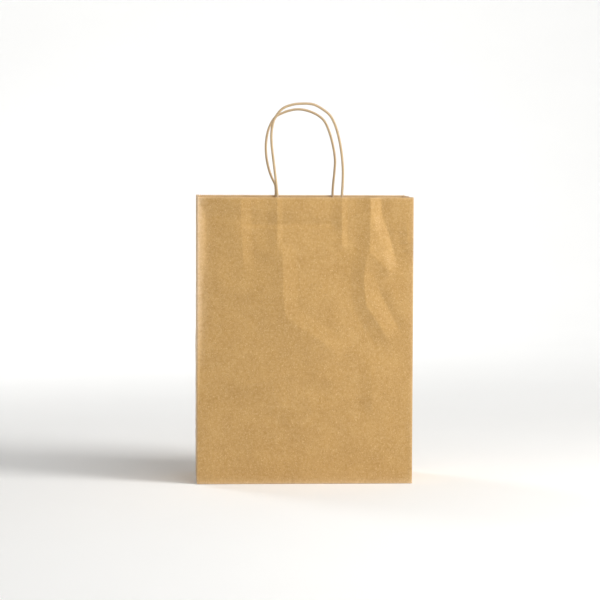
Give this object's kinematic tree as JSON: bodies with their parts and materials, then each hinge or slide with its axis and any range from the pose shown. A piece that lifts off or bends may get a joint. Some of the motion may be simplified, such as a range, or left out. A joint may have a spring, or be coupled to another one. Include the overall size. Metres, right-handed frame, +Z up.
{
  "type": "paper gift bag",
  "caption": "Plain brown kraft paper gift bag with a block bottom, folding side gussets, saw-cut top edge and two twisted paper cord handles on glued inner patches.",
  "frame": {"origin": "middle of the base, on the surface that the bag stands on", "axes": "+Z up, +Y from the front panel to the back panel, +X to the right as seen from the front"},
  "size_m": [0.26, 0.12, 0.4589],
  "materials": {
    "kraft_outside": "matte, faintly machine-glazed, mottled brown kraft",
    "kraft_inside": "matte, rougher inner side of the same kraft",
    "kraft_strip": "matte kraft patch paper",
    "twisted_cord": "matte twisted paper cord"
  },
  "bodies": {
    "root": {"front_panel": "kraft_outside", "base_tuck_left": "kraft_inside", "base_tuck_right": "kraft_inside", "base_flap_rear": "kraft_outside", "base_flap_front": "kraft_outside", "front_patch_backing": "kraft_strip", "front_patch_cover": "kraft_strip", "front_cord_end_left": "twisted_cord", "front_cord_end_right": "twisted_cord"},
    "left_front_wall": {"left_gusset_front": "kraft_outside"},
    "left_rear_wall": {"left_gusset_rear": "kraft_outside"},
    "right_front_wall": {"right_gusset_front": "kraft_outside"},
    "right_rear_wall": {"right_gusset_rear": "kraft_outside"},
    "back_wall": {"back_panel": "kraft_outside", "seam_tab": "kraft_inside", "rear_patch_backing": "kraft_strip", "rear_patch_cover": "kraft_strip", "rear_cord_end_left": "twisted_cord", "rear_cord_end_right": "twisted_cord"},
    "front_grip": {"front_handle": "twisted_cord"},
    "rear_grip": {"rear_handle": "twisted_cord"}
  },
  "joints": [
    {"name": "fold_flat", "type": "hinge", "parent": "root", "child": "left_front_wall", "pos_m": [-0.12984, -0.05984, 0], "axis": [0, 0, -1], "range_deg": [0, 86.5]},
    {"name": "left_middle_crease", "type": "hinge", "parent": "left_front_wall", "child": "left_rear_wall", "pos_m": [-0.13, 0, 0], "axis": [0, 0, 1], "range_deg": [0, 173]},
    {"name": "left_rear_crease", "type": "hinge", "parent": "left_rear_wall", "child": "back_wall", "pos_m": [-0.12984, 0.05984, 0], "axis": [0, 0, -1], "range_deg": [0, 86.5]},
    {"name": "right_front_crease", "type": "hinge", "parent": "root", "child": "right_front_wall", "pos_m": [0.12984, -0.05984, 0], "axis": [0, 0, 1], "range_deg": [0, 86.5]},
    {"name": "right_middle_crease", "type": "hinge", "parent": "right_front_wall", "child": "right_rear_wall", "pos_m": [0.13, 0, 0], "axis": [0, 0, -1], "range_deg": [0, 173]},
    {"name": "front_handle_bend", "type": "hinge", "parent": "root", "child": "front_grip", "pos_m": [0, -0.05824, 0.348], "axis": [1, 0, 0], "range_deg": [-30, 90], "stiffness_Nm_per_rad": 0.03},
    {"name": "rear_handle_bend", "type": "hinge", "parent": "back_wall", "child": "rear_grip", "pos_m": [0, 0.05824, 0.348], "axis": [-1, 0, 0], "range_deg": [-30, 90], "stiffness_Nm_per_rad": 0.03}
  ],
  "couplings": [
    {"joint": "left_middle_crease", "follows": "fold_flat", "ratio": 2},
    {"joint": "left_rear_crease", "follows": "fold_flat", "ratio": 1},
    {"joint": "right_front_crease", "follows": "fold_flat", "ratio": 1},
    {"joint": "right_middle_crease", "follows": "fold_flat", "ratio": 2}
  ]
}
